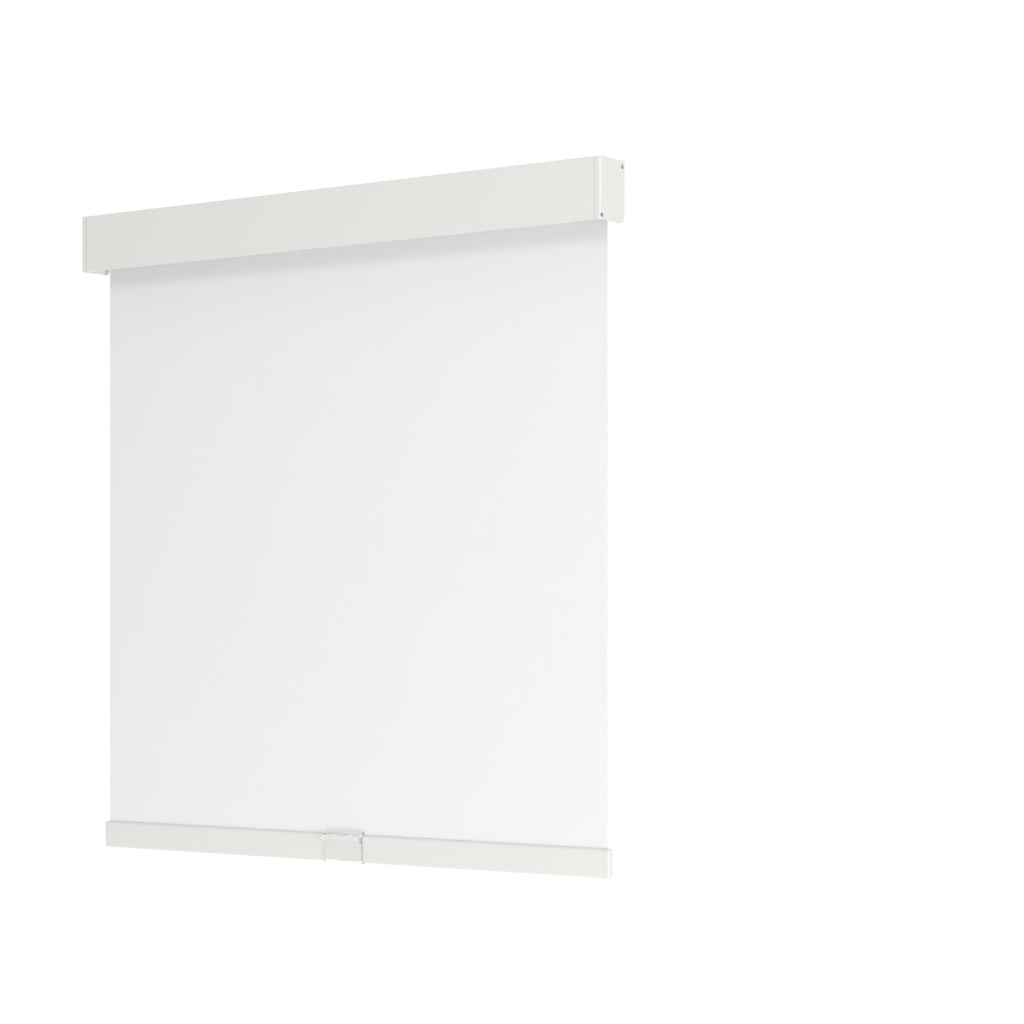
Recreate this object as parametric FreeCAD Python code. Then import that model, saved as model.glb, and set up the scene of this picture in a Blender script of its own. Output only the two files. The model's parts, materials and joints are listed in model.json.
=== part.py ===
import FreeCAD, Part
import math
import os
from FreeCAD import Vector

# Cordless roller shade with a square cassette, in millimetres.
# X runs along the shade, -Y faces the room, +Y faces the wall, +Z is up.
# The origin is the middle of the four ceiling holes, on the brackets' top face.
# Depths are measured from the cassette's front face towards the wall.

# Cassette
shade_width = 914.0
cassette_height = 80.0
cassette_depth = 54.0
bracket_proud = 1.0
cover_wall = 1.6
seam_gap = 0.3
channel_depth = 7.0
front_lip_reach = 6.0
rear_lip_depth = 43.4
rear_lip_reach = 3.0
rear_lip_drop = 1.4
fascia_hem = 3.4
port_outer_radius = 3.5
port_bore_radius = 1.5
port_slot = 1.6

# End caps
cap_length = 8.6
cap_plate = 2.4
cap_front_rim = 2.6
cap_top_rim = 2.4
cap_rib_depth = 45.9
cap_rib = 1.6
cap_rib_height = 4.6
cap_rib_lift = 0.5
cap_front_round = 2.4
cap_heel_round = 8.0
cap_tongue_length = 12.0
cap_tongue_thickness = 1.5
cap_tongue_height = 40.0

# Screws that hold the caps to the cover
low_screw_depth = 4.0
low_screw_rise = 5.8
high_screw_inset = 4.4
high_screw_drop = 7.8
screw_recess_radius = 3.1
screw_recess_depth = 3.2
screw_head_radius = 2.75
screw_head_height = 2.0
screw_hole_radius = 1.8
screw_shank_radius = 1.45
screw_length = 20.0
boss_wall = 0.7

# Mounting brackets and their lock levers
bracket_inset = 137.0
bracket_sheet = 1.6
bracket_width = 28.0
bracket_screw_edge = 9.0
bracket_bend = 1.2
bracket_leg = 32.0
bracket_front_depth = 8.0
ceiling_hole_depth = 14.0
ceiling_hole_gap = 24.0
mount_hole_radius = 2.25
wall_hole_gap = 14.0
wall_hole_drop = 22.0
wall_gap = 0.4
tongue_tip_depth = 2.4
tongue_clearance = 0.2
lever_pivot_x = 12.0
lever_pivot_depth = 30.0
lever_hub_radius = 6.5
lever_nose_width = 7.0
lever_grip = 2.2
lever_clearance = 0.15
lever_nose_thickness = 1.5
lever_arm_thickness = 1.9
lever_arm_width = 7.0
lever_arm_round = 2.3
lever_side_gap = 0.45
lever_link_inset = 1.0
lever_lip_gap = 0.6
lever_overhang = 2.6
rivet_radius = 2.0
rivet_head_radius = 3.5
rivet_head_height = 1.3
rivet_tail_radius = 2.6
rivet_sink_radius = 3.2
washer_radius = 4.2
washer_thickness = 0.5
turning_clearance = 0.05

# Roller tube and fabric
roller_drop = 40.0
fabric_depth = 40.6
fabric_thickness = 0.45
fabric_clearance = 0.3
tube_radius = 15.0
tube_wall = 1.2
tube_overlap = 1.0
tube_key_height = 1.5
tube_key_width = 2.0
groove_mouth = 2.4
groove_width = 4.4
groove_depth = 2.4
groove_wall = 1.0
wrap_turns = 2
wrap_gap = 0.45
wrap_start = 0.2
samples_per_turn = 24
spline_clearance = 0.2
key_clearance = 0.1

# Roller bracket plates
plate_thickness = 2.0
plate_width = 26.0
plate_height = 48.0
plate_gap = 0.2
plate_standoff = 4.2
guide_lip = 1.2
guide_wall = 1.6

# Lift spring unit at the right end
plug_flange_radius = 16.0
plug_flange = 2.6
plug_length = 22.0
running_gap = 0.4
head_radius = 11.0
head_thickness = 4.2
journal_radius = 7.0
journal_length = 26.0
tang_width = 9.0
tang_thickness = 4.0
tang_reach = 1.8
tang_clearance = 0.15
shaft_radius = 4.0
shaft_length = 320.0
carrier_length = 16.0
carrier_inset = 5.0
lift_spring_radius = 9.0
lift_spring_wire = 1.5
spring_clearance = 0.3
clip_thickness = 1.0
clip_radius = 7.0
clip_groove = 0.8
clip_mouth = 5.0
clip_clearance = 0.1

# Spring-loaded pin at the left end
pin_radius = 3.0
pin_fit = 0.06
pin_reach = 1.6
plunger_radius = 4.4
plunger_length = 8.0
plunger_clearance = 0.05
plug_cap = 1.0
pin_spring_length = 14.0
pin_spring_radius = 3.4
pin_spring_wire = 0.8

# Bottom rail
rail_overlap = 5.0
rail_height = 37.2
rail_thickness = 10.4
rail_wall = 1.2
rail_top_round = 4.0
rail_bottom_round = 2.2
rail_drop = 877.7
rail_cap_length = 6.0
rail_cap_chamfer = 1.0
rail_cap_spigot = 12.0
rail_cap_clearance = 0.1
rail_web_drop = 16.0
rail_slot = 1.2
rail_foot_slot = 2.6
rail_spline_radius = 2.2
rail_spline_clearance = 0.1
rail_spline_wall = 1.0

# Clear finger pull
pull_width = 67.0
pull_offset = 6.5
pull_wall = 2.0
pull_rise = 4.2
pull_clearance = 0.15
pull_ledge_drop = 6.4
pull_ledge_height = 7.6
pull_ledge_reach = 4.6
pull_ledge_nose = 2.4
pull_lip = 1.0
pull_barb_rise = 0.8
pull_barb_gap = 0.3
pull_edge_round = 1.0
pull_inner_round = 0.3
pull_ledge_root = 0.6
pull_ledge_underside = 1.4

# Places worked out from the sizes above
front_y = -(ceiling_hole_depth + ceiling_hole_gap / 2)
cassette_top = -bracket_proud
cassette_bottom = cassette_top - cassette_height
cap_outer_x = shade_width / 2
cover_end_x = cap_outer_x - cap_length
cap_inner_x = cap_outer_x - cap_plate
bracket_spacing = shade_width - 2 * bracket_inset
top_wall_z = cassette_top - channel_depth - cover_wall / 2
low_port = (low_screw_depth, cassette_bottom + low_screw_rise)
high_port = (cassette_depth - high_screw_inset, cassette_top - high_screw_drop)
wrap_pitch = fabric_thickness + wrap_gap
wrap_radius = tube_radius + wrap_start + fabric_thickness / 2 + wrap_turns * wrap_pitch
roll_radius = wrap_radius + fabric_thickness / 2
roller_depth = fabric_depth - fabric_thickness / 2 - fabric_clearance - roll_radius
roller_z = -roller_drop
tube_inner_radius = tube_radius - tube_wall
plate_outer_x = cap_inner_x - plate_standoff
plate_inner_x = plate_outer_x - plate_thickness
head_outer_x = plate_inner_x - plate_gap
head_inner_x = head_outer_x - head_thickness
plug_outer_x = head_inner_x - running_gap
tube_end_x = plug_outer_x - plug_flange
fabric_width = 2 * (tube_end_x - tube_overlap)
rail_width = fabric_width + 2 * rail_overlap
journal_x = head_inner_x - journal_length
shaft_end_x = head_outer_x - shaft_length
carrier_x = shaft_end_x + carrier_inset
rail_top = -rail_drop
rail_bottom = rail_top - rail_height
rail_front = fabric_depth - rail_thickness / 2
rail_back = fabric_depth + rail_thickness / 2
rail_spline_z = rail_top - rail_wall - rail_spline_radius - rail_spline_clearance
wall_depth = cassette_depth + wall_gap + bracket_sheet


def at(x, depth, z):
    return Vector(x, front_y + depth, z)


def block(x0, x1, depth0, depth1, z0, z1):
    return Part.makeBox(x1 - x0, depth1 - depth0, z1 - z0, at(x0, depth0, z0))


def rod(x0, x1, depth, z, radius):
    return Part.makeCylinder(radius, x1 - x0, at(x0, depth, z), Vector(1, 0, 0))


def post(x, depth, z0, z1, radius):
    return Part.makeCylinder(radius, z1 - z0, at(x, depth, z0), Vector(0, 0, 1))


def fused(first, others):
    return first.multiFuse(others).removeSplitter()


def mirrored(shape):
    return shape.mirror(Vector(0, 0, 0), Vector(1, 0, 0))


def rounded_wire(points, radii, closed):
    """Straight runs through the points, with an arc of the given radius at each corner."""
    edges = []
    count = len(points)
    starts = list(points)
    ends = list(points)
    arcs = [None] * count
    for i in range(count):
        if radii[i] <= 0 or (not closed and i in (0, count - 1)):
            continue
        before = (points[i - 1] - points[i]).normalize()
        after = (points[(i + 1) % count] - points[i]).normalize()
        half_angle = before.getAngle(after) / 2
        inward = (before + after).normalize()
        starts[i] = points[i] + before * (radii[i] / math.tan(half_angle))
        ends[i] = points[i] + after * (radii[i] / math.tan(half_angle))
        middle = points[i] + inward * (radii[i] / math.sin(half_angle) - radii[i])
        arcs[i] = Part.Arc(starts[i], middle, ends[i]).toShape()
    for i in range(count):
        if arcs[i] is not None:
            edges.append(arcs[i])
        if (i < count - 1 or closed) and (starts[(i + 1) % count] - ends[i]).Length > 1e-6:
            edges.append(Part.makeLine(ends[i], starts[(i + 1) % count]))
    return Part.Wire(edges)


def profile(x0, x1, corners):
    """Solid along X from a closed outline of (depth, z, corner radius)."""
    points = [at(x0, depth, z) for depth, z, radius in corners]
    outline = rounded_wire(points, [corner[2] for corner in corners], True)
    return Part.Face(outline).extrude(Vector(x1 - x0, 0, 0))


def plan(z0, z1, corners):
    """Solid along Z from a closed outline of (x, depth, corner radius)."""
    points = [at(x, depth, z0) for x, depth, radius in corners]
    outline = rounded_wire(points, [corner[2] for corner in corners], True)
    return Part.Face(outline).extrude(Vector(0, 0, z1 - z0))


def strip(x0, x1, centreline, thickness, bend=0.0):
    """Sheet along X that follows a centreline of (depth, z), with round ends."""
    points = [at(x0, depth, z) for depth, z in centreline]
    path = rounded_wire(points, [bend] * len(points), False)
    outline = path.makeOffset2D(thickness / 2, 0, False, False)
    return Part.Face(outline).extrude(Vector(x1 - x0, 0, 0))


def least_gap(points, per_turn, width):
    """Smallest clear distance between turns, from points along the line that a winding follows."""
    far = per_turn // 2
    nearest = 1e9
    for i in range(len(points)):
        for j in range(i + far, len(points)):
            nearest = min(nearest, (points[j] - points[i]).Length)
    return nearest - width


def sleeve(x0, x1, inner_radius, outer_radius):
    """Ring along the roller's axis."""
    outer = rod(x0, x1, roller_depth, roller_z, outer_radius)
    return outer.cut(rod(x0, x1, roller_depth, roller_z, inner_radius))


def screw_port(x0, x1, port, slot_way):
    """Round port with a bore for a self-cutting screw and a slot along its length."""
    depth, z = port
    ring = rod(x0, x1, depth, z, port_outer_radius).cut(rod(x0, x1, depth, z, port_bore_radius))
    if slot_way == "back":
        slot = block(x0, x1, depth, depth + port_outer_radius + 1, z - port_slot / 2, z + port_slot / 2)
    else:
        slot = block(x0, x1, depth - port_slot / 2, depth + port_slot / 2, z - port_outer_radius - 1, z)
    return ring, slot


def headrail_cover():
    half_wall = cover_wall / 2
    x1 = cover_end_x - seam_gap
    x0 = -x1
    top = cassette_top - half_wall
    bottom = cassette_bottom + half_wall
    fascia = strip(
        x0,
        x1,
        [
            (front_lip_reach - half_wall, top),
            (half_wall, top),
            (half_wall, bottom),
            (fascia_hem - half_wall, bottom),
        ],
        cover_wall,
    )
    top_wall = block(x0, x1, half_wall, high_port[0], top_wall_z - half_wall, top_wall_z + half_wall)
    upright = rear_lip_depth + rear_lip_reach + half_wall
    lip_z = cassette_top - rear_lip_drop - half_wall
    rear_lip = strip(
        x0, x1, [(upright, top_wall_z), (upright, lip_z), (rear_lip_depth + half_wall, lip_z)], cover_wall
    )
    low_ring, low_slot = screw_port(x0, x1, low_port, "back")
    high_ring, high_slot = screw_port(x0, x1, high_port, "down")
    bores = [rod(x0, x1, port[0], port[1], port_bore_radius) for port in (low_port, high_port)]
    cover = fused(fascia, [top_wall, rear_lip, low_ring, high_ring])
    return cover.cut(bores[0]).cut(bores[1]).cut(low_slot).cut(high_slot)


def plate_guide():
    """Moulded guides inside the cap that the roller bracket plate slides down into."""
    half_width = plate_width / 2
    front = roller_depth - half_width
    back = roller_depth + half_width
    bottom = roller_z - plate_height / 2
    top = roller_z + plate_height / 2
    lip_x = plate_inner_x - guide_lip
    front_guide = block(lip_x, cap_inner_x, front - guide_wall, front + guide_lip, bottom, top)
    back_guide = block(lip_x, cap_inner_x, back - guide_lip, back + guide_wall, bottom, top)
    stop = block(lip_x, cap_inner_x, front - guide_wall, back + guide_wall, bottom - guide_wall, bottom)
    guides = fused(front_guide, [back_guide, stop])
    return guides.cut(block(plate_inner_x, plate_outer_x, front, back, bottom, top))


def right_end_cap():
    cap = profile(
        cover_end_x,
        cap_outer_x,
        [
            (0, cassette_top, 0),
            (cassette_depth, cassette_top, 0),
            (cassette_depth, cassette_bottom, cap_heel_round),
            (0, cassette_bottom, 0),
        ],
    )
    front_edges = []
    for edge in cap.Edges:
        middle = edge.CenterOfMass
        if abs(middle.x - cap_outer_x) < 1e-3 and abs(middle.y - front_y) < 1e-3:
            front_edges.append(edge)
    cap = cap.makeFillet(cap_front_round, front_edges)
    rim_z = cassette_top - cap_top_rim
    pocket = block(
        cover_end_x, cap_inner_x, cap_front_rim, cassette_depth + 1, cassette_bottom - 1, rim_z
    )
    cap = cap.cut(pocket)
    rib_x = cap_inner_x - cap_rib_height
    rib_z = cassette_bottom + cap_rib_lift
    rib = block(rib_x, cap_inner_x, cap_rib_depth, cap_rib_depth + cap_rib, rib_z, rim_z)
    additions = [plate_guide(), rib]
    boss_radius = screw_recess_radius + boss_wall
    for depth, z in (low_port, high_port):
        additions.append(rod(cover_end_x, cap_inner_x, depth, z, boss_radius))
    tongue_depth = cover_wall + key_clearance
    tongue_low = (cassette_top + cassette_bottom - cap_tongue_height) / 2
    additions.append(
        block(
            cover_end_x - cap_tongue_length,
            cover_end_x + cap_tongue_thickness,
            tongue_depth,
            tongue_depth + cap_tongue_thickness,
            tongue_low,
            tongue_low + cap_tongue_height,
        )
    )
    cap = fused(cap, additions)
    recess_x = cap_outer_x - screw_recess_depth
    for depth, z in (low_port, high_port):
        cap = cap.cut(rod(recess_x, cap_outer_x + 1, depth, z, screw_recess_radius))
        cap = cap.cut(rod(cover_end_x - 1, cap_outer_x, depth, z, screw_hole_radius))
    return cap


def end_cap_screws():
    screws = []
    head_x = cap_outer_x - screw_recess_depth
    for port in (low_port, high_port):
        head = rod(head_x, head_x + screw_head_height, port[0], port[1], screw_head_radius)
        shank = rod(head_x - screw_length, head_x, port[0], port[1], screw_shank_radius)
        screw = fused(head, [shank])
        screws += [screw, mirrored(screw)]
    return Part.makeCompound(screws)


def roller_plate(opening):
    half_width = plate_width / 2
    half_height = plate_height / 2
    plate = block(
        plate_inner_x,
        plate_outer_x,
        roller_depth - half_width,
        roller_depth + half_width,
        roller_z - half_height,
        roller_z + half_height,
    )
    return plate.cut(opening)


def drive_plate():
    half_width = tang_width / 2 + tang_clearance
    half_height = tang_thickness / 2 + tang_clearance
    slot = block(
        plate_inner_x,
        plate_outer_x,
        roller_depth - half_height,
        roller_depth + half_height,
        roller_z - half_width,
        roller_z + half_width,
    )
    return roller_plate(slot)


def idle_plate():
    hole = rod(plate_inner_x, plate_outer_x, roller_depth, roller_z, pin_radius + pin_fit)
    return mirrored(roller_plate(hole))


def mounting_bracket(x):
    half_sheet = bracket_sheet / 2
    tongue_z = cassette_top - cover_wall - tongue_clearance - half_sheet
    step_depth = bracket_front_depth + half_sheet
    leg_depth = wall_depth - half_sheet
    x0 = x - bracket_screw_edge
    x1 = x0 + bracket_width
    sheet = strip(
        x0,
        x1,
        [
            (tongue_tip_depth + half_sheet, tongue_z),
            (step_depth, tongue_z),
            (step_depth, -half_sheet),
            (leg_depth, -half_sheet),
            (leg_depth, -bracket_leg),
        ],
        bracket_sheet,
        bracket_bend,
    )
    sheet = sheet.common(block(x0, x1, tongue_tip_depth + half_sheet, wall_depth, -bracket_leg, 0))
    for depth in (ceiling_hole_depth, ceiling_hole_depth + ceiling_hole_gap):
        sheet = sheet.cut(post(x, depth, -bracket_sheet, 0, mount_hole_radius))
    wall_x = x0 + bracket_width / 2
    for side in (-1, 1):
        centre = at(wall_x + side * wall_hole_gap / 2, wall_depth - 2 * bracket_sheet, -wall_hole_drop)
        sheet = sheet.cut(Part.makeCylinder(mount_hole_radius, 3 * bracket_sheet, centre, Vector(0, 1, 0)))
    return sheet.cut(rivet_sink(x))


def lever_levels():
    """Heights of the lock lever: its top under the bracket, its nose's top and its underside."""
    top = -bracket_sheet - 2 * turning_clearance
    nose_top = cassette_top - rear_lip_drop - cover_wall - lever_clearance
    return top, nose_top, nose_top - lever_nose_thickness


def lock_lever(x):
    """Swivel lock: hub on the rivet, nose under the rear lip, arm that reaches out behind."""
    top, nose_top, bottom = lever_levels()
    pivot_x = x + lever_pivot_x
    reach = rear_lip_depth + lever_grip - lever_pivot_depth
    hub_depth = lever_pivot_depth + lever_hub_radius
    hub = post(pivot_x, lever_pivot_depth, bottom, top, lever_hub_radius)
    nose_x0 = pivot_x - lever_nose_width / 2
    nose_x1 = pivot_x + lever_nose_width / 2
    nose = block(nose_x0, nose_x1, lever_pivot_depth, lever_pivot_depth + reach, bottom, nose_top)
    nose = nose.common(post(pivot_x, lever_pivot_depth, bottom, nose_top, reach))
    arm_x0 = x + bracket_width - bracket_screw_edge + lever_side_gap
    arm_x1 = arm_x0 + lever_arm_width
    arm_end = cassette_depth - high_screw_inset + port_outer_radius + lever_overhang
    arm_low = cassette_top - rear_lip_drop + lever_clearance
    link_end = rear_lip_depth - lever_lip_gap
    arm = None
    for end, z0, z1 in ((arm_end, arm_low, arm_low + lever_arm_thickness), (link_end, bottom, arm_low)):
        part = plan(
            z0,
            z1,
            [
                (arm_x0, hub_depth, lever_arm_round),
                (arm_x1, hub_depth, lever_arm_round),
                (arm_x1, end, lever_arm_round),
                (arm_x0, end, lever_arm_round),
            ],
        )
        arm = part if arm is None else arm.fuse(part)
    link = plan(
        bottom,
        top,
        [
            (pivot_x - lever_link_inset, lever_pivot_depth, 0),
            (pivot_x + lever_hub_radius - lever_link_inset, lever_pivot_depth, 0),
            (arm_x0 + lever_arm_width / 2, hub_depth, 0),
            (arm_x0 + lever_arm_width / 2, link_end, 0),
            (arm_x0, link_end, 0),
            (pivot_x - lever_link_inset, hub_depth - lever_link_inset, 0),
        ],
    )
    lever = fused(hub, [nose, link, arm])
    return lever.cut(post(pivot_x, lever_pivot_depth, bottom - 1, 0, rivet_radius + turning_clearance))


def lever_washer(x):
    bottom = lever_levels()[2]
    pivot_x = x + lever_pivot_x
    disc = post(pivot_x, lever_pivot_depth, bottom - washer_thickness, bottom, washer_radius)
    return disc.cut(post(pivot_x, lever_pivot_depth, bottom - washer_thickness, bottom, rivet_radius))


def rivet_sink(x):
    """Countersunk head of the lever's rivet, flush with the bracket's top."""
    foot = at(x + lever_pivot_x, lever_pivot_depth, -bracket_sheet)
    return Part.makeCone(rivet_radius, rivet_sink_radius, bracket_sheet, foot)


def lever_rivet(x):
    """Rivet with a countersunk head above and a peened tail below the washer."""
    tail_top = lever_levels()[2] - washer_thickness
    pivot_x = x + lever_pivot_x
    shank = post(pivot_x, lever_pivot_depth, tail_top, 0, rivet_radius)
    foot = at(pivot_x, lever_pivot_depth, tail_top - rivet_head_height)
    tail = Part.makeCone(rivet_tail_radius, rivet_head_radius, rivet_head_height, foot)
    return fused(shank, [rivet_sink(x), tail])


def tube_keys(x0, x1, width, tip_radius, root_radius):
    """Three keys inside the tube, at the top, front and bottom of its rest position."""
    keys = []
    for angle in (90, 180, 270):
        key = block(x0, x1, tip_radius, root_radius, -width / 2, width / 2)
        key.translate(Vector(0, -front_y, 0))
        key.rotate(Vector(0, 0, 0), Vector(1, 0, 0), angle)
        key.translate(at(0, roller_depth, roller_z))
        keys.append(key)
    return keys


def groove_box(x0, x1):
    """Outer form of the fabric groove's channel."""
    half = groove_width / 2 + groove_wall
    inner = roller_depth + tube_inner_radius - groove_depth - groove_wall
    outer = roller_depth + tube_radius - tube_wall / 2
    return block(x0, x1, inner, outer, roller_z - half, roller_z + half)


def roller_tube():
    x0 = -tube_end_x
    x1 = tube_end_x
    ring = sleeve(x0, x1, tube_inner_radius, tube_radius)
    key_tip = tube_inner_radius - tube_key_height
    keys = tube_keys(x0, x1, tube_key_width, key_tip, tube_inner_radius + tube_wall / 2)
    tube = fused(ring, keys + [groove_box(x0, x1)])
    floor = roller_depth + tube_inner_radius - groove_depth
    half = groove_width / 2
    cavity = block(x0, x1, floor, floor + groove_depth, roller_z - half, roller_z + half)
    half_mouth = groove_mouth / 2
    outer = roller_depth + tube_radius + 1
    mouth = block(x0, x1, floor, outer, roller_z - half_mouth, roller_z + half_mouth)
    return tube.cut(cavity).cut(mouth)


def tube_spline():
    floor = roller_depth + tube_inner_radius - groove_depth + spline_clearance
    half = groove_width / 2 - spline_clearance
    top = floor + groove_depth - 2 * spline_clearance
    return block(-fabric_width / 2, fabric_width / 2, floor, top, roller_z - half, roller_z + half)


def wound_fabric():
    """Turns of fabric on the tube: half circles that step inwards from the hanging panel."""
    x = -fabric_width / 2
    half_sheet = fabric_thickness / 2

    def half_turn(index, offset):
        radius = wrap_radius - wrap_pitch / 4 - index * wrap_pitch / 2 + offset
        side = 1 if index % 2 == 0 else -1
        centre = at(x, roller_depth, roller_z) + Vector(0, side * wrap_pitch / 4, 0)
        return [
            centre + Vector(0, side * radius, 0),
            centre + Vector(0, 0, side * radius),
            centre - Vector(0, side * radius, 0),
        ]

    outer = [half_turn(index, half_sheet) for index in range(2 * wrap_turns)]
    inner = [half_turn(index, -half_sheet) for index in range(2 * wrap_turns)]
    edges = [Part.Arc(*points).toShape() for points in outer + inner]
    edges.append(Part.makeLine(outer[0][0], inner[0][0]))
    edges.append(Part.makeLine(outer[-1][2], inner[-1][2]))
    samples = []
    for step in range(samples_per_turn * wrap_turns + 1):
        angle = 2 * math.pi * step / samples_per_turn
        radius = wrap_radius - wrap_pitch * step / samples_per_turn
        samples.append(Vector(0, radius * math.cos(angle), radius * math.sin(angle)))
    gap = least_gap(samples, samples_per_turn, fabric_thickness)
    print("wound_fabric gap to itself", round(gap, 2), "mm")
    outline = Part.Wire(Part.__sortEdges__(edges))
    return Part.Face(outline).extrude(Vector(fabric_width, 0, 0))


def hanging_fabric():
    front = fabric_depth - fabric_thickness / 2
    bottom = rail_spline_z + rail_spline_radius + rail_spline_clearance
    return block(-fabric_width / 2, fabric_width / 2, front, front + fabric_thickness, bottom, roller_z)


def tube_plug(x0, x1):
    """Plug that fills the tube's end, slotted for its keys and its fabric groove."""
    plug = rod(x0, x1, roller_depth, roller_z, tube_inner_radius - key_clearance)
    key_tip = tube_inner_radius - tube_key_height - key_clearance
    for key in tube_keys(x0, x1, tube_key_width + 2 * key_clearance, key_tip, tube_radius):
        plug = plug.cut(key)
    half = groove_width / 2 + groove_wall + key_clearance
    floor = roller_depth + tube_inner_radius - groove_depth - groove_wall - key_clearance
    slot = block(x0, x1, floor, roller_depth + tube_radius, roller_z - half, roller_z + half)
    return plug.cut(slot)


def tube_crown():
    body = tube_plug(tube_end_x - plug_length, tube_end_x)
    flange = rod(tube_end_x, plug_outer_x, roller_depth, roller_z, plug_flange_radius)
    bore_radius = journal_radius + turning_clearance
    bore = rod(tube_end_x - plug_length, plug_outer_x, roller_depth, roller_z, bore_radius)
    return fused(body, [flange]).cut(bore)


def spring_head():
    disc = rod(head_inner_x, head_outer_x, roller_depth, roller_z, head_radius)
    journal = rod(journal_x, head_inner_x, roller_depth, roller_z, journal_radius)
    tang = block(
        head_outer_x,
        plate_outer_x + tang_reach,
        roller_depth - tang_thickness / 2,
        roller_depth + tang_thickness / 2,
        roller_z - tang_width / 2,
        roller_z + tang_width / 2,
    )
    head = fused(disc, [journal, tang])
    return head.cut(rod(journal_x, head_inner_x, roller_depth, roller_z, shaft_radius))


def spring_shaft():
    shaft = rod(shaft_end_x, head_inner_x, roller_depth, roller_z, shaft_radius)
    groove_x1 = carrier_x - clip_clearance
    groove_x0 = groove_x1 - clip_thickness - clip_clearance
    return shaft.cut(sleeve(groove_x0, groove_x1, shaft_radius - clip_groove, shaft_radius + 1))


def shaft_clip():
    x1 = carrier_x - 1.5 * clip_clearance
    x0 = x1 - clip_thickness
    ring = sleeve(x0, x1, shaft_radius - clip_groove + clip_clearance, clip_radius)
    front = roller_depth - clip_mouth / 2
    mouth = block(x0, x1, front, front + clip_mouth, roller_z, roller_z + clip_radius + 1)
    return ring.cut(mouth)


def drive_carrier():
    x1 = carrier_x + carrier_length
    bore = rod(carrier_x, x1, roller_depth, roller_z, shaft_radius + turning_clearance)
    return tube_plug(carrier_x, x1).cut(bore)


def lift_spring():
    """Torsion spring between the head and the carrier: its turns lie close, as one sleeve."""
    x0 = carrier_x + carrier_length + spring_clearance
    x1 = journal_x - spring_clearance
    half_wire = lift_spring_wire / 2
    return sleeve(x0, x1, lift_spring_radius - half_wire, lift_spring_radius + half_wire)


def idle_plug():
    """Plug whose flange keeps the sprung pin in its bore behind a thin collar."""
    body = tube_plug(tube_end_x - plug_length, tube_end_x)
    flange = rod(tube_end_x, plug_outer_x + plug_cap, roller_depth, roller_z, plug_flange_radius)
    bore_end = plug_outer_x - plunger_length - pin_spring_length
    bore = rod(bore_end, plug_outer_x, roller_depth, roller_z, plunger_radius + plunger_clearance)
    hole = rod(plug_outer_x, plug_outer_x + plug_cap, roller_depth, roller_z, pin_radius + pin_fit)
    return mirrored(fused(body, [flange]).cut(bore).cut(hole))


def idle_pin():
    plunger = rod(plug_outer_x - plunger_length, plug_outer_x, roller_depth, roller_z, plunger_radius)
    nose = rod(plug_outer_x, plate_outer_x + pin_reach, roller_depth, roller_z, pin_radius)
    return mirrored(fused(plunger, [nose]))


def idle_pin_spring():
    """Spring behind the pin, as the sleeve that its turns fill."""
    end = plug_outer_x - plunger_length - spring_clearance
    start = end - pin_spring_length + 2 * spring_clearance
    half_wire = pin_spring_wire / 2
    return mirrored(sleeve(start, end, pin_spring_radius - half_wire, pin_spring_radius + half_wire))


def rail_outline(x0, x1, inset):
    return profile(
        x0,
        x1,
        [
            (rail_front + inset, rail_top - inset, rail_top_round - inset),
            (rail_back - inset, rail_top - inset, rail_top_round - inset),
            (rail_back - inset, rail_bottom + inset, rail_bottom_round - inset),
            (rail_front + inset, rail_bottom + inset, rail_bottom_round - inset),
        ],
    )


def rail_mouth(x0, x1):
    """Slot in the rail's top through which the fabric enters."""
    front = fabric_depth - rail_slot / 2
    return block(x0, x1, front, front + rail_slot, rail_spline_z, rail_top + 1)


def bottom_rail():
    x1 = rail_width / 2 - rail_cap_length
    x0 = -x1
    shell = rail_outline(x0, x1, 0).cut(rail_outline(x0, x1, rail_wall))
    bore_radius = rail_spline_radius + rail_spline_clearance
    tunnel = rod(x0, x1, fabric_depth, rail_spline_z, bore_radius + rail_spline_wall)
    web_z = rail_top - rail_web_drop
    web = block(x0, x1, rail_front + rail_wall / 2, rail_back - rail_wall / 2, web_z - rail_wall, web_z)
    rail = fused(shell, [tunnel.common(rail_outline(x0, x1, rail_wall / 2)), web])
    front = fabric_depth - rail_foot_slot / 2
    foot_slot = block(x0, x1, front, front + rail_foot_slot, rail_bottom - 1, rail_bottom + rail_wall + 1)
    rail = rail.cut(rod(x0, x1, fabric_depth, rail_spline_z, bore_radius))
    return rail.cut(rail_mouth(x0, x1)).cut(foot_slot)


def rail_spline():
    x1 = rail_width / 2 - rail_cap_length - rail_cap_clearance
    return rod(-x1, x1, fabric_depth, rail_spline_z, rail_spline_radius)


def right_rail_cap():
    x1 = rail_width / 2
    x0 = x1 - rail_cap_length
    cap = rail_outline(x0, x1, 0)
    outer_edges = [edge for edge in cap.Edges if edge.BoundBox.XMin > x1 - 1e-3]
    cap = cap.makeChamfer(rail_cap_chamfer, outer_edges)
    inset = rail_wall + rail_cap_clearance
    spigot = rail_outline(x0 - rail_cap_spigot, x0, inset)
    keep_top = rail_top - rail_web_drop - rail_wall - rail_cap_clearance
    window = block(x0 - rail_cap_spigot, x0, rail_front, rail_back, rail_bottom, keep_top)
    notch = rail_mouth(x0, fabric_width / 2 + fabric_clearance)
    return fused(cap, [spigot.common(window)]).cut(notch)


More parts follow.
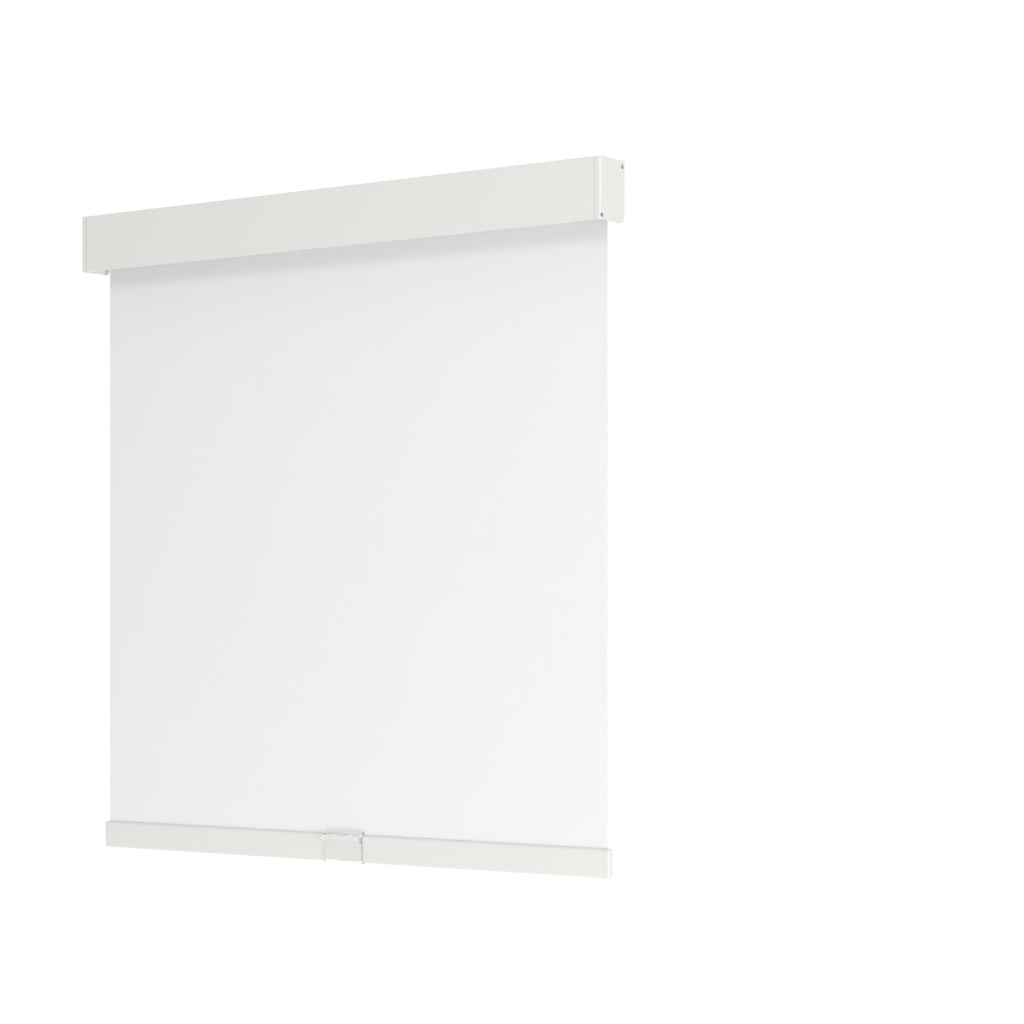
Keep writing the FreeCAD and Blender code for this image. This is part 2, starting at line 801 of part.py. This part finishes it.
def finger_pull():
    """Clip on the rail: hook over its top, front plate with a rounded ledge, barb in its foot slot."""
    x0 = pull_offset - pull_width / 2
    x1 = pull_offset + pull_width / 2
    back = rail_front - pull_clearance
    front = back - pull_wall
    top = rail_top + pull_rise
    over_rail = rail_top + pull_clearance
    under_rail = rail_bottom - pull_clearance
    bottom = under_rail - pull_lip
    hook_end = fabric_depth - fabric_thickness / 2 - fabric_clearance
    barb_front = fabric_depth - rail_foot_slot / 2 + pull_barb_gap
    barb_back = fabric_depth + rail_foot_slot / 2 - pull_barb_gap
    barb_top = rail_bottom + rail_wall + pull_barb_rise
    ledge_top = top - pull_ledge_drop
    ledge_bottom = ledge_top - pull_ledge_height
    nose = front - pull_ledge_reach
    return profile(
        x0,
        x1,
        [
            (front, top, pull_edge_round),
            (hook_end, top, pull_edge_round),
            (hook_end, over_rail, pull_inner_round),
            (back, over_rail, rail_top_round + pull_clearance),
            (back, under_rail, rail_bottom_round + pull_clearance),
            (barb_front, under_rail, pull_inner_round),
            (barb_front, barb_top, pull_inner_round),
            (barb_back, barb_top, pull_inner_round),
            (barb_back, bottom, pull_edge_round),
            (front, bottom, pull_edge_round),
            (front, ledge_bottom - pull_ledge_nose, pull_ledge_nose),
            (nose, ledge_bottom, pull_ledge_underside),
            (nose, ledge_top, pull_ledge_nose),
            (front, ledge_top, pull_ledge_root),
        ],
    )


nodes = {
    "headrail_cover": headrail_cover(),
    "left_end_cap": mirrored(right_end_cap()),
    "right_end_cap": right_end_cap(),
    "end_cap_screws": end_cap_screws(),
    "drive_plate": drive_plate(),
    "idle_plate": idle_plate(),
    "roller_tube": roller_tube(),
    "tube_spline": tube_spline(),
    "wound_fabric": wound_fabric(),
    "hanging_fabric": hanging_fabric(),
    "tube_crown": tube_crown(),
    "spring_head": spring_head(),
    "spring_shaft": spring_shaft(),
    "shaft_clip": shaft_clip(),
    "drive_carrier": drive_carrier(),
    "lift_spring": lift_spring(),
    "idle_plug": idle_plug(),
    "idle_pin": idle_pin(),
    "idle_pin_spring": idle_pin_spring(),
    "bottom_rail": bottom_rail(),
    "rail_spline": rail_spline(),
    "right_rail_cap": right_rail_cap(),
    "left_rail_cap": mirrored(right_rail_cap()),
    "finger_pull": finger_pull(),
}
bracket_places = {"left": -bracket_spacing / 2, "right": bracket_spacing / 2}
for side, x in bracket_places.items():
    nodes[side + "_mounting_bracket"] = mounting_bracket(x)
    nodes[side + "_lock_lever"] = lock_lever(x)
nodes["lever_washers"] = Part.makeCompound([lever_washer(x) for x in bracket_places.values()])
nodes["lever_rivets"] = Part.makeCompound([lever_rivet(x) for x in bracket_places.values()])

os.makedirs("parts", exist_ok=True)
for name, shape in nodes.items():
    shape.exportStep("parts/" + name + ".step")
    print(name, len(shape.Solids), "solids, valid", shape.isValid(), "volume", round(shape.Volume, 1))
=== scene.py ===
import bmesh
import bpy
import json
import math
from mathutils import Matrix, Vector

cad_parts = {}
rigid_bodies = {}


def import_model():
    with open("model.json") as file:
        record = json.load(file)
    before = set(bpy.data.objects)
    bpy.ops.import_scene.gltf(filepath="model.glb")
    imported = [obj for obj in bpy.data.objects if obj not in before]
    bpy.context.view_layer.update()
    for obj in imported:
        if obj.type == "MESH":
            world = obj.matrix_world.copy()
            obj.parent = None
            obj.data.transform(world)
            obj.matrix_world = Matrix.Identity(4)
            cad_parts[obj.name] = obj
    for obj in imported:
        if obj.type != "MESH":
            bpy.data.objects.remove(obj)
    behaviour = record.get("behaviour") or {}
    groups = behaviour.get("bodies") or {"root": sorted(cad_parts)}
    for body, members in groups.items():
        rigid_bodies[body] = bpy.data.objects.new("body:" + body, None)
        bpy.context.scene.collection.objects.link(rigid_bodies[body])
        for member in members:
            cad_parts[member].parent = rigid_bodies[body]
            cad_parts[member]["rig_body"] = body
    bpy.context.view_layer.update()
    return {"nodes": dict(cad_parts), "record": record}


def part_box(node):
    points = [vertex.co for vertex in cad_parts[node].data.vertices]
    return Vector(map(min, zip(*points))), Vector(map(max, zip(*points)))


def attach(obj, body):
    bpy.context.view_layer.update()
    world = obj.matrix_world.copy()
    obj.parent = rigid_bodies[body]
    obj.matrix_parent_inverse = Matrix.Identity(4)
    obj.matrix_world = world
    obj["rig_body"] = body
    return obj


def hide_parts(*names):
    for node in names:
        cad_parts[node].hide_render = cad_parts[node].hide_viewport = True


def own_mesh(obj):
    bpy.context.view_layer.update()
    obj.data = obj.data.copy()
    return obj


# Looks of a cordless roller shade, built round its solids. Metres, in the solids' frame:
# X along the shade, -Y to the room, +Z up, origin on the brackets' top face.

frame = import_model()
scene = bpy.context.scene

# Camera, read from the photograph's perspective
IMAGE_WIDTH = 1024
HORIZON_ROW = 626.17
FOCAL_PIXELS = 2860.96
CAMERA_PLACE = (2.51102, -2.98778, -0.5939)
CAMERA_YAW = math.radians(36.51)
SENSOR_WIDTH = 36.0

# The world's strength, and the floor: its own glow where it is seen directly, its height and size
AMBIENT = 0.48
FLOOR_GLOW = 0.57
FLOOR_HEIGHT = -2.7
FLOOR_SIZE = 30.0

# Surface textures. The ridge unit is a wave texture's scale for one ridge to the metre.
RIDGE_UNIT = math.pi / 10
RIDGE_WANDER = 0.6
RIDGE_WANDER_SCALE = 2.0
GRAIN_STRETCH = 12
YARN_PITCH = 0.0005
SLUB_LENGTH = 0.03
SLUB_HEIGHT = 0.0012

# Hanging panel: grid, depth of its slight wave, and the wave's turns in radians per metre
PANEL_COLUMNS = 110
PANEL_ROWS = 104
PANEL_WAVE = 0.00022
WAVE_ACROSS = 11
WAVE_ACROSS_START = 1.3
WAVE_DOWN = 5
WAVE_DOWN_START = 0.4
RIPPLE_SHARE = 0.5
RIPPLE_ACROSS = 27
RIPPLE_DOWN = 4

# Fabric on the roller, and the strip that leads from it into the panel
ROLL_TURNS = 5
ROLL_STEPS = 96
ROLL_LAYER = 0.93
LEAD_ANGLE = math.radians(140)
LEAD_STEPS = 56
LEAD_GAP = 0.00005
LEAD_TIP = 0.2

# Softened edges of moulded and rolled pieces, and the open joint between cover and caps
MERGE_DISTANCE = 1e-6
FLAT_ANGLE = math.radians(0.5)
EDGE_ANGLE = math.radians(28)
EDGE_SEGMENTS = 3
EXTRUDED_EDGE = 0.00025
END_CAP_EDGE = 0.0005
SMALL_MOULDING_EDGE = 0.0004
BRACKET_EDGE = 0.0002
LEVER_EDGE = 0.0003
JOINT_GAP = 0.00025

# Screws in the end caps. The dome's outline gives falls in dome heights and radii in head radii.
SCREW_SIDES = 40
SCREW_HEAD_RADIUS = 0.00275
SCREW_HEAD_HEIGHT = 0.0014
SCREW_DOME = 0.0006
DOME_OUTLINE = ((0, 0.35), (0.15, 0.6), (0.5, 0.85), (1, 0.97), (1.6, 1))
THREAD_PITCH = 0.0011
CREST_RADIUS = 0.53 * SCREW_HEAD_RADIUS
ROOT_RADIUS = 0.42 * SCREW_HEAD_RADIUS
TIP_RADIUS = 0.12 * SCREW_HEAD_RADIUS
CROSS_REACH = 0.33 * SCREW_HEAD_RADIUS
CROSS_WIDTH = 0.00045
CROSS_DEPTH = 0.0011
CROSS_TAPER = 0.35

# Wound springs
SPRING_STEPS = 18
WIRE_ROUNDNESS = 2
LIFT_SPRING_WIRE = 0.0015
LIFT_SPRING_PITCH = 0.0017
PIN_SPRING_WIRE = 0.0008
PIN_SPRING_PITCH = 0.0018


def spread(tree, factor, low, high):
    """A factor between 0 and 1, spread from low to high."""
    node = tree.nodes.new("ShaderNodeMapRange")
    node.inputs["To Min"].default_value = low
    node.inputs["To Max"].default_value = high
    tree.links.new(factor, node.inputs["Value"])
    return node.outputs["Result"]


class Shader:
    """A material's nodes, with short calls for the textures that several materials share."""

    def __init__(self, name):
        self.material = bpy.data.materials.new(name)
        self.material.use_nodes = True
        self.tree = self.material.node_tree
        self.nodes = self.tree.nodes
        self.links = self.tree.links
        self.surface = self.nodes["Principled BSDF"]
        self.place = self.nodes.new("ShaderNodeTexCoord").outputs["Object"]

    def set(self, **values):
        """Fixed values of the surface, with underscores for the blanks in their names."""
        for name, value in values.items():
            self.surface.inputs[name.replace("_", " ")].default_value = value

    def stretched(self, *scales):
        """The object's own coordinates, scaled along each axis."""
        mapping = self.nodes.new("ShaderNodeMapping")
        mapping.inputs["Scale"].default_value = scales
        self.links.new(self.place, mapping.inputs["Vector"])
        return mapping.outputs["Vector"]

    def noise(self, scale, detail=3.0, vector=None):
        """Cloudy texture, finer with a larger scale."""
        texture = self.nodes.new("ShaderNodeTexNoise")
        texture.inputs["Scale"].default_value = scale
        texture.inputs["Detail"].default_value = detail
        self.links.new(vector or self.place, texture.inputs["Vector"])
        return texture.outputs["Fac"]

    def ridges(self, direction, pitch):
        """Even ridges across one axis, one for each pitch in metres."""
        texture = self.nodes.new("ShaderNodeTexWave")
        texture.bands_direction = direction
        texture.inputs["Scale"].default_value = RIDGE_UNIT / pitch
        texture.inputs["Distortion"].default_value = RIDGE_WANDER
        texture.inputs["Detail Scale"].default_value = RIDGE_WANDER_SCALE
        self.links.new(self.place, texture.inputs["Vector"])
        return texture.outputs["Fac"]

    def mixed(self, factor, first, second):
        """Colour between two, by a factor from a texture."""
        mix = self.nodes.new("ShaderNodeMix")
        mix.data_type = "RGBA"
        mix.inputs["A"].default_value = (*first, 1)
        mix.inputs["B"].default_value = (*second, 1)
        self.links.new(factor, mix.inputs["Factor"])
        return mix.outputs["Result"]

    def colour(self, output):
        """Takes the surface's colour from a texture."""
        self.links.new(output, self.surface.inputs["Base Color"])

    def roughness(self, factor, low, high):
        """Takes the surface's roughness from a texture."""
        self.links.new(spread(self.tree, factor, low, high), self.surface.inputs["Roughness"])

    def bump(self, height, strength, distance):
        """Adds a fine relief from a texture to any relief that is there already."""
        node = self.nodes.new("ShaderNodeBump")
        node.inputs["Strength"].default_value = strength
        node.inputs["Distance"].default_value = distance
        self.links.new(height, node.inputs["Height"])
        previous = self.surface.inputs["Normal"].links
        if previous:
            self.links.new(previous[0].from_socket, node.inputs["Normal"])
        self.links.new(node.outputs["Normal"], self.surface.inputs["Normal"])


def powder_coat():
    """Warm white baked finish on rolled aluminium, with a fine orange peel."""
    shader = Shader("white_powder_coat")
    shader.colour(shader.mixed(shader.noise(9.0), (0.81, 0.805, 0.775), (0.835, 0.83, 0.80)))
    shader.roughness(shader.noise(60.0), low=0.42, high=0.52)
    shader.bump(shader.noise(2200.0, detail=2.0), strength=0.12, distance=0.00006)
    return shader.material


def white_moulding(name, dark, light):
    """White moulded plastic with a fine spark-eroded grain."""
    shader = Shader(name)
    shader.colour(shader.mixed(shader.noise(14.0), dark, light))
    shader.roughness(shader.noise(80.0), low=0.38, high=0.48)
    shader.bump(shader.noise(3200.0, detail=2.0), strength=0.15, distance=0.00005)
    return shader.material


def blackout_weave():
    """Close plain weave, slightly cool, with faint slubs along the weft."""
    shader = Shader("white_blackout_weave")
    along_weft = shader.stretched(1 / SLUB_LENGTH, 1.0, 1 / SLUB_HEIGHT)
    slubs = shader.noise(1.0, detail=4.0, vector=along_weft)
    shader.colour(shader.mixed(slubs, (0.885, 0.89, 0.91), (0.925, 0.93, 0.95)))
    shader.set(Sheen_Weight=0.12, Sheen_Roughness=0.5)
    shader.roughness(slubs, low=0.78, high=0.9)
    shader.bump(slubs, strength=0.2, distance=0.00008)
    shader.bump(shader.ridges("X", YARN_PITCH), strength=0.22, distance=0.00006)
    shader.bump(shader.ridges("Z", YARN_PITCH), strength=0.28, distance=0.00006)
    return shader.material


def clear_moulding():
    """Clear moulded plastic with a faint ripple. Its alpha lets the lamps reach what lies behind."""
    shader = Shader("clear_moulding")
    shader.set(Transmission_Weight=1.0, IOR=1.49, Base_Color=(0.995, 1.0, 0.998, 1), Alpha=0.8)
    shader.roughness(shader.noise(40.0), low=0.03, high=0.08)
    shader.bump(shader.noise(160.0, detail=1.0), strength=0.12, distance=0.0001)
    return shader.material


def metal(name, dark, light, low, high, grain):
    """Bare or plated metal: two shades, a range of roughness, and a grain along the shade."""
    shader = Shader(name)
    along_grain = shader.stretched(grain / GRAIN_STRETCH, grain, grain)
    streaks = shader.noise(1.0, detail=4.0, vector=along_grain)
    shader.colour(shader.mixed(streaks, dark, light))
    shader.set(Metallic=1.0)
    shader.roughness(streaks, low, high)
    shader.bump(streaks, strength=0.1, distance=0.00003)
    return shader.material


def moulded(name, dark, light):
    """Coloured moulded plastic with flow marks and a fine grain."""
    shader = Shader(name)
    shader.colour(shader.mixed(shader.noise(90.0, detail=4.0), dark, light))
    shader.roughness(shader.noise(400.0), low=0.38, high=0.55)
    shader.bump(shader.noise(2600.0, detail=2.0), strength=0.2, distance=0.00005)
    return shader.material


materials = {
    "white_cover": powder_coat(),
    "white_cap": white_moulding("white_cap_moulding", (0.805, 0.801, 0.78), (0.825, 0.821, 0.80)),
    "white_rail_cap": white_moulding("white_rail_moulding", (0.81, 0.807, 0.785), (0.83, 0.827, 0.805)),
    "white_fabric": blackout_weave(),
    "clear_plastic": clear_moulding(),
    "mill_aluminium": metal("mill_aluminium", (0.60, 0.61, 0.62), (0.74, 0.75, 0.76), 0.3, 0.45, 900),
    "zinc_steel": metal("zinc_plate", (0.52, 0.53, 0.55), (0.66, 0.67, 0.68), 0.36, 0.5, 300),
    # Screw steel: a mid-grey plating, set darker than plain plated steel so that the screws also carry
    # painted shade of the recesses they sit in
    "screw_steel": metal("screw_steel_recess_shade", (0.26, 0.26, 0.255), (0.36, 0.36, 0.35), 0.25, 0.38, 1200),
    "spring_steel": metal("spring_steel", (0.30, 0.31, 0.33), (0.44, 0.45, 0.47), 0.3, 0.45, 1500),
    "grey_plastic": moulded("grey_moulding", (0.24, 0.25, 0.26), (0.30, 0.31, 0.32)),
    "black_plastic": moulded("black_moulding", (0.012, 0.012, 0.013), (0.022, 0.022, 0.024)),
}
slots = {part["node"]: part["material_slot"] for part in frame["record"]["subparts"]}


def coated(piece, slot):
    """Gives a piece its slot's material alone."""
    piece.data.materials.clear()
    piece.data.materials.append(materials[slot])


def placed(name, data):
    """A new object in the scene."""
    piece = bpy.data.objects.new(name, data)
    scene.collection.objects.link(piece)
    return piece


def added(name, mesh, body, slot, *nodes):
    """A new piece in the scene that rides on a body and stands for the named nodes."""
    piece = placed(name, mesh)
    coated(piece, slot)
    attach(piece, body)
    if nodes:
        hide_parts(*nodes)
    return piece


def finished_mesh(name, form):
    """A mesh from a built form, smooth but for its sharp edges."""
    mesh = bpy.data.meshes.new(name)
    form.to_mesh(mesh)
    form.free()
    mesh.shade_smooth()
    mesh.set_sharp_from_angle(angle=EDGE_ANGLE)
    return mesh


def softened(node, width):
    """A node's own form with its faces joined and its edges rounded by a small radius."""
    source = frame["nodes"][node]
    form = bmesh.new()
    form.from_mesh(source.data)
    bmesh.ops.remove_doubles(form, verts=form.verts[:], dist=MERGE_DISTANCE)
    bmesh.ops.dissolve_limit(form, angle_limit=FLAT_ANGLE, verts=form.verts[:], edges=form.edges[:])
    name = node + "_finished"
    piece = added(name, finished_mesh(name, form), source["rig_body"], slots[node], node)
    bevel = piece.modifiers.new("edges", "BEVEL")
    bevel.width = width
    bevel.segments = EDGE_SEGMENTS
    bevel.limit_method = "ANGLE"
    bevel.angle_limit = EDGE_ANGLE
    bevel.harden_normals = True
    return piece


def drawn_in(piece, gap):
    """Shortens an extrusion by a gap at each end, so that its joint with the caps shows as a line."""
    reach = max(vertex.co.x for vertex in piece.data.vertices)
    share = 1 - gap / reach
    for vertex in piece.data.vertices:
        vertex.co.x *= share


def axis_of(node):
    """Depth and height of the axis of a round node that lies along the shade."""
    low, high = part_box(node)
    return (low.y + high.y) / 2, (low.z + high.z) / 2


def closed_pairs(ring):
    """Each corner of a ring with the next one, the last with the first."""
    return zip(ring, ring[1:] + ring[:1])


def band(form, first, second):
    """Faces between two rings that have equally many corners."""
    sides = zip(closed_pairs(first), closed_pairs(second))
    return [form.faces.new([a, b, far_b, far_a]) for (a, b), (far_a, far_b) in sides]


def closed_strip(form, rings):
    """Closes a run of four-cornered rings into one solid strip."""
    for first, second in zip(rings, rings[1:]):
        band(form, first, second)
    form.faces.new(rings[0])
    form.faces.new(rings[-1][::-1])
    bmesh.ops.recalc_face_normals(form, faces=form.faces[:])


def strip_ring(form, low, high, angle, outer, inner):
    """Cross-section of fabric round the roller, at one angle."""
    centre_y, centre_z = axis_of("roller_tube")
    ring = []
    for x, radius in ((low.x, outer), (high.x, outer), (high.x, inner), (low.x, inner)):
        y = centre_y + radius * math.cos(angle)
        z = centre_z + radius * math.sin(angle)
        ring.append(form.verts.new((x, y, z)))
    return ring


def lead():
    """Fabric from the hanging panel's top edge up and over the roll, where it lies on the turns."""
    low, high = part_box("hanging_fabric")
    roll_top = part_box("wound_fabric")[1].z
    centre_y, centre_z = axis_of("roller_tube")
    start = low.y - centre_y
    thickness = high.y - low.y
    end = roll_top - centre_z + LEAD_GAP
    form = bmesh.new()
    rings = []
    for step in range(LEAD_STEPS + 1):
        share = step / LEAD_STEPS
        inner = start + (end - start) * share
        height = thickness * (LEAD_TIP if step == LEAD_STEPS else 1)
        rings.append(strip_ring(form, low, high, LEAD_ANGLE * share, inner + height, inner))
    closed_strip(form, rings)
    return added("fabric_lead", finished_mesh("fabric_lead", form), "cassette", "white_fabric")


def panel_wave(x, z):
    """Slight wave of the hanging panel at one place."""
    wave = math.sin(WAVE_ACROSS * x + WAVE_ACROSS_START) * math.cos(WAVE_DOWN * z + WAVE_DOWN_START)
    return wave + RIPPLE_SHARE * math.sin(RIPPLE_ACROSS * x - RIPPLE_DOWN * z)


def panel_face(form, low, high, face_y):
    """Grid of corners on one face of the panel, row by row from the top, flat at both ends."""
    grid = []
    for row in range(PANEL_ROWS + 1):
        fall = row / PANEL_ROWS
        z = high.z + (low.z - high.z) * fall
        depth = PANEL_WAVE * math.sin(math.pi * fall)
        line = []
        for column in range(PANEL_COLUMNS + 1):
            x = low.x + (high.x - low.x) * column / PANEL_COLUMNS
            line.append(form.verts.new((x, face_y + depth * panel_wave(x, z), z)))
        grid.append(line)
    return grid


def panel():
    """Hanging fabric: a thin closed sheet with a very slight wave, from the roller into the rail."""
    low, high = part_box("hanging_fabric")
    form = bmesh.new()
    front = panel_face(form, low, high, low.y)
    back = panel_face(form, low, high, high.y)
    for row in range(PANEL_ROWS):
        for column in range(PANEL_COLUMNS):
            for grid, order in ((front, 1), (back, -1)):
                upper = grid[row][column:column + 2]
                lower = grid[row + 1][column:column + 2]
                corners = [upper[0], lower[0], lower[1], upper[1]]
                form.faces.new(corners[::order])
    rim = [(row, 0) for row in range(PANEL_ROWS)]
    rim += [(PANEL_ROWS, column) for column in range(PANEL_COLUMNS)]
    rim += [(row, PANEL_COLUMNS) for row in range(PANEL_ROWS, 0, -1)]
    rim += [(0, column) for column in range(PANEL_COLUMNS, 0, -1)]
    for (row, column), (next_row, next_column) in closed_pairs(rim):
        first = [front[row][column], back[row][column]]
        second = [back[next_row][next_column], front[next_row][next_column]]
        form.faces.new(first + second)
    bmesh.ops.recalc_face_normals(form, faces=form.faces[:])
    mesh = finished_mesh("fabric_panel", form)
    piece = added("fabric_panel", mesh, "cassette", "white_fabric", "hanging_fabric")
    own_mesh(piece)
    lead()


def roll():
    """Fabric wound close on the tube, with its spiral open to view at both ends."""
    low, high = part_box("wound_fabric")
    tube_low, tube_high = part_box("roller_tube")
    tube_radius = (tube_high.z - tube_low.z) / 2
    outer = high.z - axis_of("roller_tube")[1]
    pitch = (outer - tube_radius) / (ROLL_TURNS + 1)
    form = bmesh.new()
    rings = []
    for step in range(ROLL_TURNS * ROLL_STEPS + 1):
        turn = step / ROLL_STEPS
        layer = outer - pitch * turn
        angle = 2 * math.pi * turn
        rings.append(strip_ring(form, low, high, angle, layer, layer - pitch * ROLL_LAYER))
    closed_strip(form, rings)
    mesh = finished_mesh("fabric_roll", form)
    added("fabric_roll", mesh, "roller", "white_fabric", "wound_fabric")


def halfway(values):
    """Middle between the least and the greatest value."""
    return (min(values) + max(values)) / 2


def cap_screws():
    """Pan-head screws with a cross recess, two in each end cap."""
    low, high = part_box("end_cap_screws")
    middle = (low.z + high.z) / 2
    points = [vertex.co for vertex in frame["nodes"]["end_cap_screws"].data.vertices]
    form = bmesh.new()
    for side in (-1, 1):
        for below in (True, False):
            own = [point for point in points if point.x * side > 0 and (point.z < middle) == below]
            y = halfway([point.y for point in own])
            z = halfway([point.z for point in own])
            reach = [point.x * side for point in own]
            screw_form(form, side, max(reach), y, z, min(reach))
    mesh = finished_mesh("cap_screws", form)
    added("cap_screws", mesh, "cassette", "screw_steel", "end_cap_screws")


def screw_form(form, side, top, y, z, tip):
    """One screw: domed head with a sunk cross, and a threaded shank down to its tip."""
    seat = top - SCREW_HEAD_HEIGHT - SCREW_DOME
    outline = [(top - fall * SCREW_DOME, share * SCREW_HEAD_RADIUS) for fall, share in DOME_OUTLINE]
    outline += [(seat, SCREW_HEAD_RADIUS), (seat, CREST_RADIUS)]
    along = seat - THREAD_PITCH
    while along > tip + THREAD_PITCH:
        outline += [(along, ROOT_RADIUS), (along - THREAD_PITCH / 2, CREST_RADIUS)]
        along -= THREAD_PITCH
    outline.append((tip, TIP_RADIUS))
    rings = []
    for x, radius in outline:
        ring = []
        for corner in range(SCREW_SIDES):
            angle = 2 * math.pi * corner / SCREW_SIDES
            across = radius * math.cos(angle)
            up = radius * math.sin(angle)
            ring.append(form.verts.new((side * x, y + across, z + up)))
        rings.append(ring)
    made = []
    for first, second in zip(rings, rings[1:]):
        made += band(form, first, second)
    made.append(form.faces.new(rings[-1]))
    made += cross_recess(form, rings[0], side, top, y, z)
    bmesh.ops.recalc_face_normals(form, faces=made)


def cross_recess(form, rim, side, top, y, z):
    """Closes the head's middle round a cross-shaped pit with slanted arms."""
    half = CROSS_WIDTH / 2
    arm = [(CROSS_REACH, -half), (CROSS_REACH, half), (half, half)]
    outline = []
    for quarter in range(4):
        cos = math.cos(quarter * math.pi / 2)
        sin = math.sin(quarter * math.pi / 2)
        outline += [(along * cos - across * sin, along * sin + across * cos) for along, across in arm]
    upper = [form.verts.new((side * top, y + a, z + b)) for a, b in outline]
    floor_x = side * (top - CROSS_DEPTH)
    lower = [form.verts.new((floor_x, y + CROSS_TAPER * a, z + CROSS_TAPER * b)) for a, b in outline]
    faces = [form.faces.new(lower)]
    faces += band(form, upper, lower)
    edges = [form.edges.get(pair) for ring in (rim, upper) for pair in closed_pairs(ring)]
    bridged = bmesh.ops.triangle_fill(form, use_beauty=True, edges=edges)
    return faces + [item for item in bridged["geom"] if isinstance(item, bmesh.types.BMFace)]


def wound_spring(node, wire, pitch):
    """Spring of round wire along X, in the place of a node's plain sleeve."""
    low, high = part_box(node)
    centre_y, centre_z = axis_of(node)
    radius = (high.z - low.z - wire) / 2
    length = high.x - low.x - wire
    count = round(length / pitch) * SPRING_STEPS
    curve = bpy.data.curves.new(node + "_line", "CURVE")
    curve.dimensions = "3D"
    curve.bevel_depth = wire / 2
    curve.bevel_resolution = WIRE_ROUNDNESS
    curve.use_fill_caps = True
    line = curve.splines.new("POLY")
    line.points.add(count)
    for step in range(count + 1):
        angle = 2 * math.pi * step / SPRING_STEPS
        x = low.x + wire / 2 + length * step / count
        y = centre_y + radius * math.cos(angle)
        z = centre_z + radius * math.sin(angle)
        line.points[step].co = (x, y, z, 1)
    holder = placed(node + "_line", curve)
    state = bpy.context.evaluated_depsgraph_get()
    mesh = bpy.data.meshes.new_from_object(holder.evaluated_get(state))
    bpy.data.objects.remove(holder)
    mesh.shade_smooth()
    return added(node + "_wound", mesh, frame["nodes"][node]["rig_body"], slots[node], node)


def pin_spring():
    """The pin's spring, which the pin presses together from its outer end."""
    piece = wound_spring("idle_pin_spring", PIN_SPRING_WIRE, PIN_SPRING_PITCH)
    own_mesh(piece)


def seen_directly(tree, low, high):
    """High where the camera, a reflection or a clear piece sees the surface, and low to other rays."""
    path = tree.nodes.new("ShaderNodeLightPath")
    largest = path.outputs["Is Camera Ray"]
    for name in ("Is Glossy Ray", "Is Transmission Ray"):
        both = tree.nodes.new("ShaderNodeMath")
        both.operation = "MAXIMUM"
        tree.links.new(largest, both.inputs[0])
        tree.links.new(path.outputs[name], both.inputs[1])
        largest = both.outputs["Value"]
    return spread(tree, largest, low, high)


def floor():
    """Pale floor that looks white to the camera and keeps the object's shadow."""
    mesh = bpy.data.meshes.new("floor")
    half = FLOOR_SIZE / 2
    corners = [(-half, -half), (half, -half), (half, half), (-half, half)]
    mesh.from_pydata([(x, y, FLOOR_HEIGHT) for x, y in corners], [], [(0, 1, 2, 3)])
    piece = placed("floor", mesh)
    shader = Shader("pale_floor")
    shader.set(Roughness=0.9, Specular_IOR_Level=0.1, Emission_Color=(1, 1, 1, 1))
    shader.colour(shader.mixed(shader.noise(2.0), (0.89, 0.89, 0.89), (0.91, 0.91, 0.91)))
    strength = seen_directly(shader.tree, 0.0, FLOOR_GLOW)
    shader.links.new(strength, shader.surface.inputs["Emission Strength"])
    mesh.materials.append(shader.material)


def sky():
    """Even pale light all round, white where the camera, a reflection or a clear piece sees it."""
    world = bpy.data.worlds.new("studio")
    scene.world = world
    world.use_nodes = True
    tree = world.node_tree
    background = tree.nodes["Background"]
    background.inputs["Color"].default_value = (1, 1, 1, 1)
    tree.links.new(seen_directly(tree, AMBIENT, 1.0), background.inputs["Strength"])


def lamp(name, place, aim, size, power):
    """Round area lamp at a place, turned to what it lights."""
    light = bpy.data.lights.new(name, "AREA")
    light.shape = "DISK"
    light.size = size
    light.energy = power
    piece = placed(name, light)
    piece.location = place
    piece.rotation_euler = (Vector(aim) - Vector(place)).to_track_quat("-Z", "Y").to_euler()


def camera():
    """Level camera, shifted so that its horizon lies on the photograph's row."""
    data = bpy.data.cameras.new("camera")
    data.sensor_fit = "HORIZONTAL"
    data.sensor_width = SENSOR_WIDTH
    data.lens = FOCAL_PIXELS / IMAGE_WIDTH * SENSOR_WIDTH
    data.shift_y = (HORIZON_ROW - IMAGE_WIDTH / 2) / IMAGE_WIDTH
    piece = placed("camera", data)
    piece.location = CAMERA_PLACE
    piece.rotation_euler = (math.pi / 2, 0, CAMERA_YAW)
    scene.camera = piece


for node, piece in frame["nodes"].items():
    coated(piece, slots[node])
drawn_in(softened("headrail_cover", EXTRUDED_EDGE), JOINT_GAP)
for width, nodes in (
    (END_CAP_EDGE, ("left_end_cap", "right_end_cap")),
    (EXTRUDED_EDGE, ("bottom_rail",)),
    (SMALL_MOULDING_EDGE, ("left_rail_cap", "right_rail_cap", "finger_pull")),
    (BRACKET_EDGE, ("left_mounting_bracket", "right_mounting_bracket")),
    (LEVER_EDGE, ("left_lock_lever", "right_lock_lever")),
):
    for node in nodes:
        softened(node, width)
panel()
roll()
cap_screws()
wound_spring("lift_spring", LIFT_SPRING_WIRE, LIFT_SPRING_PITCH)
pin_spring()

floor()
sky()
lamp("side", place=(3.7, -1.4, -1.0), aim=(0.1, 0, -0.6), size=2.0, power=73)
lamp("front", place=(1.1, -3.4, 1.7), aim=(0, 0, -0.3), size=1.3, power=22)
lamp("top", place=(0.4, -1.0, 2.4), aim=(0, 0, -0.4), size=1.6, power=9)
lamp("back", place=(-3.0, 2.8, 0.3), aim=(0, 0, -0.4), size=2.4, power=62)
lamp("fill", place=(-0.2, -2.0, -2.2), aim=(0, 0, -0.8), size=1.5, power=12.5)
camera()
scene.view_settings.view_transform = "Standard"
